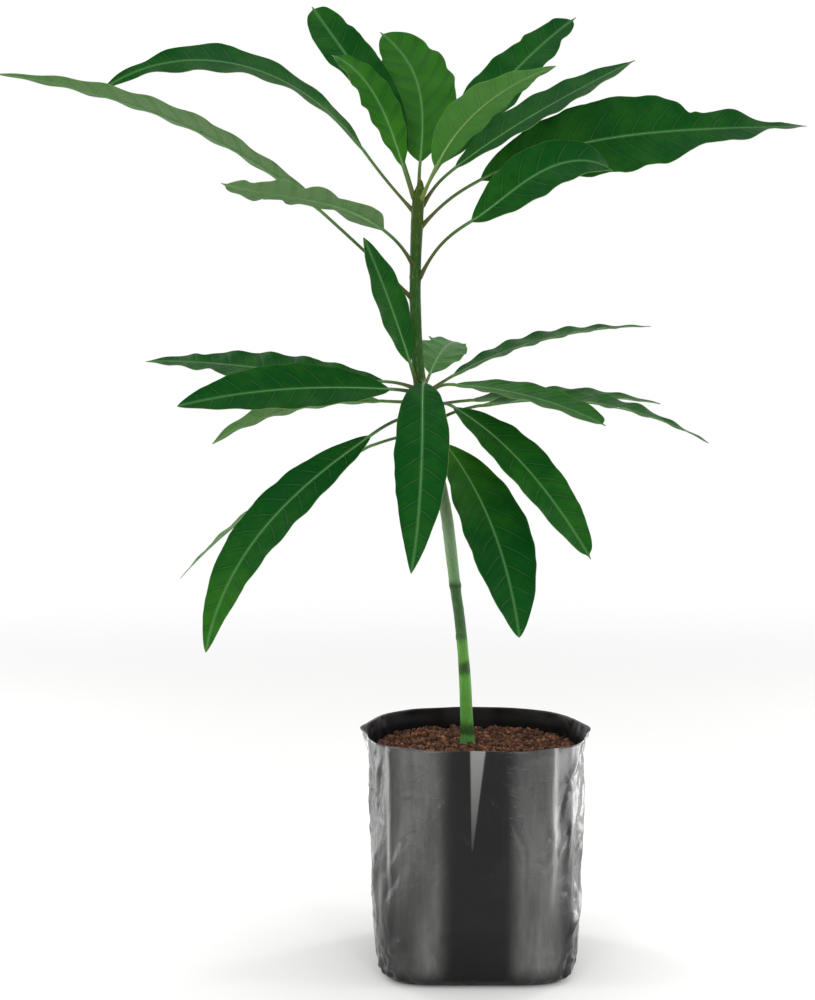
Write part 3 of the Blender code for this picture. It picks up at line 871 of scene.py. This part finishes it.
def make_leaf(leaf, number, upper, under, rib):
    """A veined blade with a waved margin and two faces. Its stalk runs on as its midrib."""
    line = midline(leaf)
    length = leaf.length * MM
    rows = int(leaf.length / BLADE_ROW)
    blade, side, f = add_sheet("mango_" + leaf.name, BLADE_COLUMNS, rows)
    # The sheet's first side becomes the left margin, so that its face points up.
    side = 1 - side * 2
    across, lift, count = blade_form(leaf, number, side, f)
    place, sideways, upward = follow(line, f * length)
    reshape(blade, place + sideways * across[:, None] + upward * lift[:, None])
    set_point_value(blade, "youth", through(leaf.youth, f))
    set_point_value(blade, "edge", np.abs(side))
    set_point_value(blade, "along", 0.5 + 0.5 * f)
    corners = corner_points(blade)
    write_map(blade, "OFBake", read_map(blade, "Pattern") * (0.44, 0.98) + (0.01, 0.01))
    write_map(blade, "Pattern", np.stack([across, count], axis=-1)[corners])
    for material in (upper, under, rib):
        blade.data.materials.append(material)
    apply_modifier(
        blade,
        "SOLIDIFY",
        thickness=BLADE_THICKNESS,
        offset=-1.0,
        use_even_offset=False,
        material_offset=1,
        material_offset_rim=1,
    )
    baked = read_map(blade, "OFBake")
    baked[face_materials(blade) == 1] += (0.45, 0)
    write_map(blade, "OFBake", baked)

    stalk, turn, t = add_sheet("stalk", 16, 40 + rows // 2)
    first = line[0][0]
    run = first + (length * 0.992 - first) * t
    f = np.clip(run / length, 0, 1)
    on_stalk = np.clip(-run / (leaf.stalk * MM), 0, 1)
    swelling = 0.9 * MM * np.exp(-np.clip((run - first) / (9 * MM), 0, 9) ** 1.5)
    thinned = (1 - f) ** 0.8
    half_high = np.where(run < 0, STALK_RADIUS, 1.1 * MM * thinned + 0.2 * MM) + swelling
    spread = 0.65 * MM * (1 - f) ** 12 + 0.5 * MM * thinned + 0.15 * MM
    half_wide = np.where(run < 0, STALK_RADIUS, spread) + swelling
    sink = smooth_step(run / (0.05 * length)) * (0.28 * MM * (1 - 0.6 * f) - half_high)
    angle = math.tau * turn
    place, sideways, upward = follow(line, run)
    upward_by = half_high * np.sin(angle) + sink
    # The stalk is grooved along its upper side.
    channel = np.exp(-(((angle - math.pi / 2) / 0.45) ** 2))
    upward_by -= 0.3 * MM * smooth_step(on_stalk * 6) * channel
    points = place + sideways * (half_wide * np.cos(angle))[:, None] + upward * upward_by[:, None]
    reshape(stalk, points)
    set_point_value(stalk, "youth", through(leaf.youth, f))
    set_point_value(stalk, "edge", 0 * f)
    set_point_value(stalk, "along", np.where(run < 0, 0.5 - 0.5 * on_stalk, 0.5 + 0.5 * f))
    write_map(stalk, "OFBake", read_map(stalk, "Pattern") * (0.06, 0.98) + (0.93, 0.01))
    stalk.data.materials.append(rib)
    close_tube(stalk)
    join(blade, stalk)
    slot = "young_leaf" if leaf.name in YOUNG_LEAVES else "mature_leaf"
    return hand_in(blade, slot, leaf.name)


# ---------------------------------------------------------------- bag and mix


def bag_form(angle, height, inset=0.0):
    """The film's even form, before its folds: a rounded square that opens to a pointed oval."""
    rings = np.array(BAG_RINGS, float)
    level = height / MM
    wide = np.interp(level, rings[:, 0], rings[:, 1]) * MM - inset
    deep = np.interp(level, rings[:, 0], rings[:, 2]) * MM - inset
    front = np.interp(level, rings[:, 0], rings[:, 3])
    back = np.interp(level, rings[:, 0], rings[:, 4])
    cos, sin = np.cos(angle), np.sin(angle)
    power = np.where(sin < 0, front, back)
    reach = 1 / (np.abs(cos / wide) ** power + np.abs(sin / deep) ** power) ** (1 / power)
    climb = np.clip((height - RIM_EAR_FROM) / (BAG_HEIGHT - RIM_EAR_FROM), 0, 1)
    reach += RIM_EAR * climb**2 * np.abs(cos) ** 60
    return reach


def crease(angle, degrees, width):
    """A sharp ridge that runs up the film at one heading."""
    return np.exp(-np.abs(apart(angle, degrees)) / math.radians(width))


# Creases pressed into the film: heading and height of each end, in degrees and millimetres, the
# width in millimetres, and how far it stands out, or is pushed in where that is negative.
CREASES = (
    (301, 103, 306, 126, 3.0, 1.8),
    (303, 92, 311, 116, 3.2, 2.0),
    (308, 128, 314, 160, 4.0, -2.6),
    (310, 150, 322, 176, 4.5, 2.4),
    (313, 96, 318, 140, 4.0, 2.6),
    (320, 60, 329, 112, 5.0, -3.0),
    (316, 40, 334, 66, 4.0, 2.6),
    (333, 90, 342, 165, 5.0, 2.6),
    (229, 92, 236, 116, 3.0, 1.8),
    (226, 70, 234, 98, 3.2, -1.8),
    (214, 120, 219, 172, 4.0, -2.4),
    (208, 60, 216, 110, 4.5, 2.4),
    (198, 100, 206, 170, 5.0, 2.6),
    (190, 30, 201, 84, 5.0, -2.8),
    (226, 24, 238, 44, 3.5, 2.0),
    (118, 90, 126, 150, 4.5, 2.0),
    (134, 60, 146, 130, 5.0, -2.6),
    (150, 100, 160, 172, 5.0, 2.6),
    (30, 80, 44, 150, 5.0, 2.6),
    (16, 50, 26, 120, 5.0, -2.6),
    (2, 90, 10, 170, 5.0, 2.4),
    (60, 96, 66, 130, 3.5, 1.4),
    (76, 60, 84, 84, 3.5, -1.2),
    (98, 70, 108, 96, 3.5, 1.2),
    (256, 58, 262, 74, 3.0, 0.9),
    (284, 46, 292, 60, 3.0, -0.9),
    (244, 34, 254, 46, 3.0, 0.9),
)


def creases(angle, height):
    """How far the film stands out at each of its pressed creases."""
    out = np.zeros_like(angle)
    for first, low, last, high, width, size in CREASES:
        x = apart(angle, first) * BAG_RADIUS
        y = height - low * MM
        run_x = math.radians(last - first) * BAG_RADIUS
        run_y = (high - low) * MM
        share = np.clip((x * run_x + y * run_y) / (run_x**2 + run_y**2), 0, 1)
        away = np.hypot(x - share * run_x, y - share * run_y) / (width * MM)
        out += size * MM * np.exp(-(away**1.3)) * (0.35 + 0.65 * np.sin(math.pi * share))
    return out


def gusset_line(degrees, level):
    """The heading of a gusset's edge, which leans in towards the foot."""
    return degrees + GUSSET_LEAN * (1 - level) * (1 if degrees < 270 else -1)


def bag_folds(angle, height):
    """The film's folds: gusset edges, slack panels between them and crushed lower corners."""
    level = height / BAG_HEIGHT
    x, y = np.cos(angle), np.sin(angle)
    folds = np.zeros_like(angle)
    for degrees, size, _ in GUSSETS:
        edge = crease(angle, gusset_line(degrees, level), 4.0)
        folds += size * MM * edge * smooth_step(level * 3)
    # Soft upright sheens on the panels.
    folds += 0.9 * MM * wobble(x * 3.2, y * 3.2, height * 4.0)
    folds += 0.45 * MM * wobble(x * 8.0, y * 8.0, height * 9.0 + 3.0)
    # The side panels are crumpled.
    side = smooth_step((np.abs(x) - 0.66) / 0.16)
    crumple = np.abs(wobble(x * 5 + 7, y * 9, height * 34))
    crumple += 0.5 * np.abs(wobble(x * 11, y * 19, height * 70 + 5))
    folds += side * 2.2 * MM * (0.35 - crumple)
    # Short fine creases pull across the front and back below the rim.
    pull = np.abs(wobble(x * 6 + 2, y * 6, height * 22 + 9))
    pulled = smooth_step((0.12 - pull) / 0.12) * smooth_step((0.95 - level) * 3)
    folds -= (1 - side) * 0.32 * MM * pulled
    # One small dart in the middle of the front, open at the rim.
    down = np.clip((height - DART_POINT) / (BAG_HEIGHT - DART_POINT), 0, 1)
    dart = apart(angle, 267.5 + 2.5 * down) / (math.radians(0.8) + math.radians(4.2) * down)
    folds += 0.8 * MM * down * smooth_step(1 - np.abs(dart))
    # The lower corners are crushed flat and stick out in sharp folds.
    low = smooth_step((0.24 - level) / 0.2)
    corner = smooth_step((np.abs(x * y) - 0.3) / 0.2)
    crush = np.abs(wobble(x * 9 + 1, y * 9, height * 60))
    crush += 0.6 * np.abs(wobble(x * 21, y * 21, height * 120))
    folds += low * (0.25 + 0.75 * corner) * 4.2 * MM * (0.4 - crush)
    rim = smooth_step((height - 183 * MM) / (6 * MM))
    folds += creases(angle, height)
    return folds * smooth_step(level / 0.02) * (1 - 0.6 * rim)


def film_stress_and_sheen(angle, height):
    """How pale each place of the film is painted, from 0 to 1: painted sheen, and on the folds
    stress whitening with a painted highlight.
    """
    x = bag_form(angle, height) * np.cos(angle) / MM
    front = np.sin(angle) < 0
    level = height / BAG_HEIGHT
    grey = np.zeros_like(angle)
    for middle, half, amount, on_front in PAINTED_SHEEN_BANDS:
        grey += amount * np.exp(-(((x - middle) / half) ** 4)) * (front == on_front)
    grey *= 0.85 + 0.7 * wobble(np.cos(angle) * 5, np.sin(angle) * 5, height * 14)
    # The pressed edges of the gussets are whitest: stress whitening with a painted highlight.
    for degrees, _, amount in GUSSETS:
        away = apart(angle, gusset_line(degrees, level)) / math.radians(0.9)
        grey += amount * np.exp(-(away**2)) * smooth_step(level * 3 - 0.8)
    # Painted sheen: the side panels are painted paler, in place of their reflections.
    side = smooth_step((np.abs(np.cos(angle)) - 0.7) / 0.12)
    return np.clip(grey + 0.12 * side, 0, 1) * smooth_step(level / 0.1)


def make_bag(film, inside):
    """A lofted shell of film, with its folds in its shape, a floor and a wall thickness."""
    bag, around, up = add_sheet("grow_bag", 330, 128)
    height = BAG_HEIGHT * up
    angle = math.tau * around
    reach = bag_form(angle, height) + bag_folds(angle, height)
    x, y = np.cos(angle), np.sin(angle)
    rim_dip = 1.2 * MM * wobble(x * 2.5, y * 2.5, 4.0) * smooth_step((up - 0.9) / 0.1)
    reshape(bag, np.stack([reach * x, reach * y, height + rim_dip], axis=-1))
    set_point_value(bag, "stress_and_sheen", film_stress_and_sheen(angle, height))
    in_edit_mode(bag, (bpy.ops.mesh.remove_doubles, {"threshold": SEAM}))
    # The floor: the lowest ring is drawn in and closed.
    bpy.ops.object.mode_set(mode="EDIT")
    bpy.ops.mesh.select_all(action="DESELECT")
    bpy.ops.object.mode_set(mode="OBJECT")
    for edge in bag.data.edges:
        edge.select = all(bag.data.vertices[v].co.z < 0.01 * MM for v in edge.vertices)
    bpy.ops.object.mode_set(mode="EDIT")
    bpy.ops.mesh.select_mode(type="EDGE")
    for _ in range(6):
        bpy.ops.mesh.extrude_edges_move()
        bpy.ops.transform.resize(value=(0.8, 0.8, 1), center_override=(0, 0, 0))
    bpy.ops.mesh.edge_face_add()
    bpy.ops.mesh.select_mode(type="VERT")
    bpy.ops.mesh.select_all(action="SELECT")
    bpy.ops.mesh.normals_make_consistent(inside=False)
    bpy.ops.object.mode_set(mode="OBJECT")
    bag.data.materials.append(film)
    bag.data.materials.append(inside)
    apply_modifier(
        bag, "SOLIDIFY", thickness=FILM, offset=-1.0, use_even_offset=False, material_offset=1
    )
    return hand_in(bag, "bag_film", "nursery_bag")


def mix_level(x, y):
    """The crumbly top of the mix, heaped a little here and there."""
    level = 1.4 * MM * wobble(x * 22, y * 22, 1.0)
    level += 0.9 * MM * wobble(x * 60, y * 60, 2.0)
    level += 1.1 * MM * np.abs(wobble(x * 150, y * 150, 3.0))
    return MIX_TOP + level


def make_mix(earth, crumb_earth, fibre):
    """The block of mix that fills the bag, with loose crumbs and fibres on its top."""
    mix, around, out = add_sheet("coco_mix", 220, 90)
    angle = math.tau * around
    edge = np.clip(out / MIX_TOP_SHARE, 0, 1)
    down = np.clip((out - MIX_TOP_SHARE) / (1 - MIX_TOP_SHARE), 0, 1)
    wall_height = MIX_TOP - MIX_EDGE_DROP - down * (MIX_TOP - MIX_FOOT)
    wall = bag_form(angle, wall_height, MIX_INSET)
    rim = bag_form(angle, MIX_TOP + 0 * angle, MIX_INSET)
    reach = np.where(down > 0, wall, rim * (0.012 + 0.988 * edge))
    x, y = reach * np.cos(angle), reach * np.sin(angle)
    top = mix_level(x, y) - MIX_EDGE_DROP * smooth_step((edge - 0.93) / 0.07)
    z = np.where(down > 0, wall_height, top)
    reshape(mix, np.stack([x, y, z], axis=-1))
    close_tube(mix)
    mix.data.materials.append(earth)
    join(mix, make_crumbs(crumb_earth), make_fibres(fibre))
    return hand_in(mix, "potting_mix", "potting_mix")


def copies(name, pattern, places, turns, sizes):
    """One mesh that holds a copy of a small shape at each place."""
    corners = shape_of(pattern)
    faces = np.array([tuple(p.vertices) for p in pattern.data.polygons])
    bpy.data.objects.remove(pattern, do_unlink=True)
    all_points, all_faces = [], []
    for number, (place, turn, size) in enumerate(zip(places, turns, sizes)):
        all_points.append((corners * size) @ turn.T + place)
        all_faces.append(faces + number * len(corners))
    mesh = bpy.data.meshes.new(name)
    mesh.from_pydata(np.concatenate(all_points).tolist(), [], np.concatenate(all_faces).tolist())
    thing = bpy.data.objects.new(name, mesh)
    bpy.context.scene.collection.objects.link(thing)
    return thing


def random_turns(random, count):
    """Evenly spread rotations, as matrices."""
    q = random.normal(size=(count, 4))
    q /= np.linalg.norm(q, axis=1)[:, None]
    w, x, y, z = q.T
    rows = [
        [1 - 2 * (y * y + z * z), 2 * (x * y - z * w), 2 * (x * z + y * w)],
        [2 * (x * y + z * w), 1 - 2 * (x * x + z * z), 2 * (y * z - x * w)],
        [2 * (x * z - y * w), 2 * (y * z + x * w), 1 - 2 * (x * x + y * y)],
    ]
    return np.stack([np.stack(row, axis=-1) for row in rows], axis=-2)


def scatter(random, count):
    """Places on the mix's top, even over its area."""
    angle = random.uniform(0, math.tau, count)
    share = np.sqrt(random.uniform(0, 1, count)) * 0.985
    reach = bag_form(angle, np.full(count, MIX_TOP), 5.5 * MM) * share
    x, y = reach * np.cos(angle), reach * np.sin(angle)
    return np.stack([x, y, mix_level(x, y)], axis=-1)


def make_crumbs(earth):
    """Loose lumps of the mix, from under 1 mm to about 4 mm in radius."""
    random = np.random.default_rng(7)
    bpy.ops.object.select_all(action="DESELECT")
    bpy.ops.mesh.primitive_ico_sphere_add(subdivisions=1, radius=1)
    grain = bpy.context.object
    points = shape_of(grain)
    points *= (1 + 0.35 * wobble(*(points.T * 1.3)))[:, None]
    reshape(grain, points)
    sizes = random.uniform(0.9, 3.3, CRUMBS)[:, None] * MM * random.uniform(0.6, 1.3, (CRUMBS, 3))
    places = scatter(random, CRUMBS)
    places[:, 2] += sizes.min(axis=1) * 0.3
    crumbs = copies("crumbs", grain, places, random_turns(random, CRUMBS), sizes)
    crumbs.data.materials.append(earth)
    return crumbs


def make_fibres(material):
    """Short curled coconut fibres that lie on the mix."""
    random = np.random.default_rng(11)
    fibre, around, along = add_sheet("fibre", 4, 5)
    angle = math.tau * around
    thick = 0.16 * (1 - 0.7 * np.abs(along * 2 - 1) ** 2)
    bow = 1.1 * (along - 0.5) ** 2 * 4
    x = thick * np.cos(angle)
    reshape(fibre, np.stack([x, (along - 0.5) * 9, thick * np.sin(angle) - bow], axis=-1))
    close_tube(fibre)
    apply_modifier(fibre, "TRIANGULATE")
    turns = random.uniform(0, math.tau, FIBRES)
    cos, sin, flat = np.cos(turns), np.sin(turns), 0 * turns
    rows = [[cos, -sin, flat], [sin, cos, flat], [flat, flat, flat + 1]]
    turned = np.stack([np.stack(row, axis=-1) for row in rows], axis=-2)
    sizes = random.uniform(0.6, 1.3, FIBRES)[:, None] * MM * np.ones((1, 3))
    places = scatter(random, FIBRES)
    places[:, 2] += 1.4 * MM
    fibres = copies("fibres", fibre, places, turned, sizes)
    fibres.data.materials.append(material)
    return fibres


# ---------------------------------------------------------------- studio


def pale_floor():
    """A matte white floor that brightens to the studio's white beyond the plant's shadow."""
    material, tree, shader = new_material("matte_white_floor", Roughness=0.9)
    place = add_node(tree, COORDINATES, out="Object")
    far = add_node(tree, "ShaderNodeVectorMath", {0: place}, out="Value", operation="LENGTH")
    blend = add_node(
        tree, STRETCH, {0: far, 1: 0.6, 2: 2.2, 3: 0.0, 4: 1.0}, interpolation_type="SMOOTHSTEP"
    )
    colour = add_node(
        tree, MIX, {0: blend, 6: linear("cfcfce"), 7: linear("000000")}, data_type="RGBA"
    )
    shader.inputs["Emission Color"].default_value = linear("ffffff")
    shader.inputs["Specular IOR Level"].default_value = 0.0
    wire(tree, shader, Base_Color=colour, Emission_Strength=blend)
    return material


def make_studio():
    """The camera, the floor, the white surroundings and the lamps."""
    camera = bpy.data.objects.new("camera", bpy.data.cameras.new("camera"))
    bpy.context.scene.collection.objects.link(camera)
    camera.location = CAMERA_PLACE
    camera.rotation_euler = (math.radians(90 - CAMERA_TILT), 0, 0)
    camera.data.lens = 72
    camera.data.sensor_width = 36
    bpy.context.scene.camera = camera

    bpy.ops.object.select_all(action="DESELECT")
    bpy.ops.mesh.primitive_plane_add(size=FLOOR_SIZE, location=(0, 0, -FLOOR_GAP))
    floor = bpy.context.object
    floor.name = "studio_floor"
    floor.data.materials.append(pale_floor())

    world = bpy.data.worlds.new("studio")
    world.use_nodes = True
    world.node_tree.nodes["Background"].inputs["Color"].default_value = linear("ffffff")
    world.node_tree.nodes["Background"].inputs["Strength"].default_value = 1.0
    bpy.context.scene.world = world

    for name, place, aim_height, size, power in LIGHTS:
        lamp = bpy.data.lights.new(name, "AREA")
        lamp.shape = "RECTANGLE"
        lamp.size, lamp.size_y = size
        lamp.energy = power
        thing = bpy.data.objects.new(name, lamp)
        bpy.context.scene.collection.objects.link(thing)
        thing.location = place
        aim = Vector((-0.03, 0, aim_height)) - thing.location
        thing.rotation_euler = aim.to_track_quat("-Z", "Y").to_euler()
    bpy.context.scene.view_settings.view_transform = "Standard"


# Name, place, height of its aim, width and height in metres, and power in watts.
LIGHTS = (
    ("strip_front_left", (-0.75, -1.95, 0.8), 0.4, (0.2, 1.6), 9),
    ("strip_front_right", (0.6, -1.95, 0.8), 0.4, (0.2, 1.6), 9),
    ("strip_left", (-1.6, -0.4, 0.8), 0.4, (0.3, 1.6), 8),
    ("strip_right", (1.6, -0.4, 0.8), 0.4, (0.3, 1.6), 8),
    ("strip_back_left", (-1.2, 1.0, 0.8), 0.4, (0.3, 1.6), 10),
    ("strip_back_right", (1.2, 1.0, 0.8), 0.4, (0.3, 1.6), 10),
    ("overhead_softbox", (-0.2, -0.3, 2.3), 0.4, (1.2, 1.2), 9),
    # Low bars, whose reflections run up the film.
    ("bar_front_left", (-0.36, -0.42, 0.045), 0.07, (0.36, 0.085), 0.2),
    ("bar_front_right", (0.34, -0.42, 0.045), 0.07, (0.36, 0.085), 0.2),
    ("bar_left", (-0.5, 0.12, 0.1), 0.1, (0.5, 0.2), 0.8),
    ("bar_right", (0.48, 0.12, 0.1), 0.1, (0.5, 0.2), 1.9),
    ("bar_back", (0.0, 0.6, 0.045), 0.07, (0.5, 0.085), 0.6),
)


# ---------------------------------------------------------------- the plant

make_studio()
# The upper side is dark and waxed, with its veins sunk in.
upper_face = leaf_face(
    "mango_leaf_upper",
    old="04370d",
    young="3a7418",
    painted_shade_colour="04240a",
    vein="5c8c52",
    roughness=0.4,
    vein_strength=0.18,
    vein_height=-1.2,
)
# The underside is paler and duller, and its veins stand out.
under_face = leaf_face(
    "mango_leaf_underside",
    old="526d46",
    young="356624",
    painted_shade_colour="2a5024",
    vein="7e9a64",
    roughness=0.6,
    vein_strength=0.25,
    vein_height=0.6,
)
rib_skin = leaf_rib()
make_bag(black_film(), inner_film())
make_mix(
    coco_mix("cocopeat", "0f0603", "2f170b", "52301c"),
    coco_mix("cocopeat_crumb", "110704", "43230f", "9c6a48"),
    coco_mix("coconut_fibre", "4a2814", "7c4e2e", "a87c4c"),
)
make_stem(green_bark())
for number, leaf in enumerate(LEAVES):
    make_leaf(leaf, number, upper_face, under_face, rib_skin)
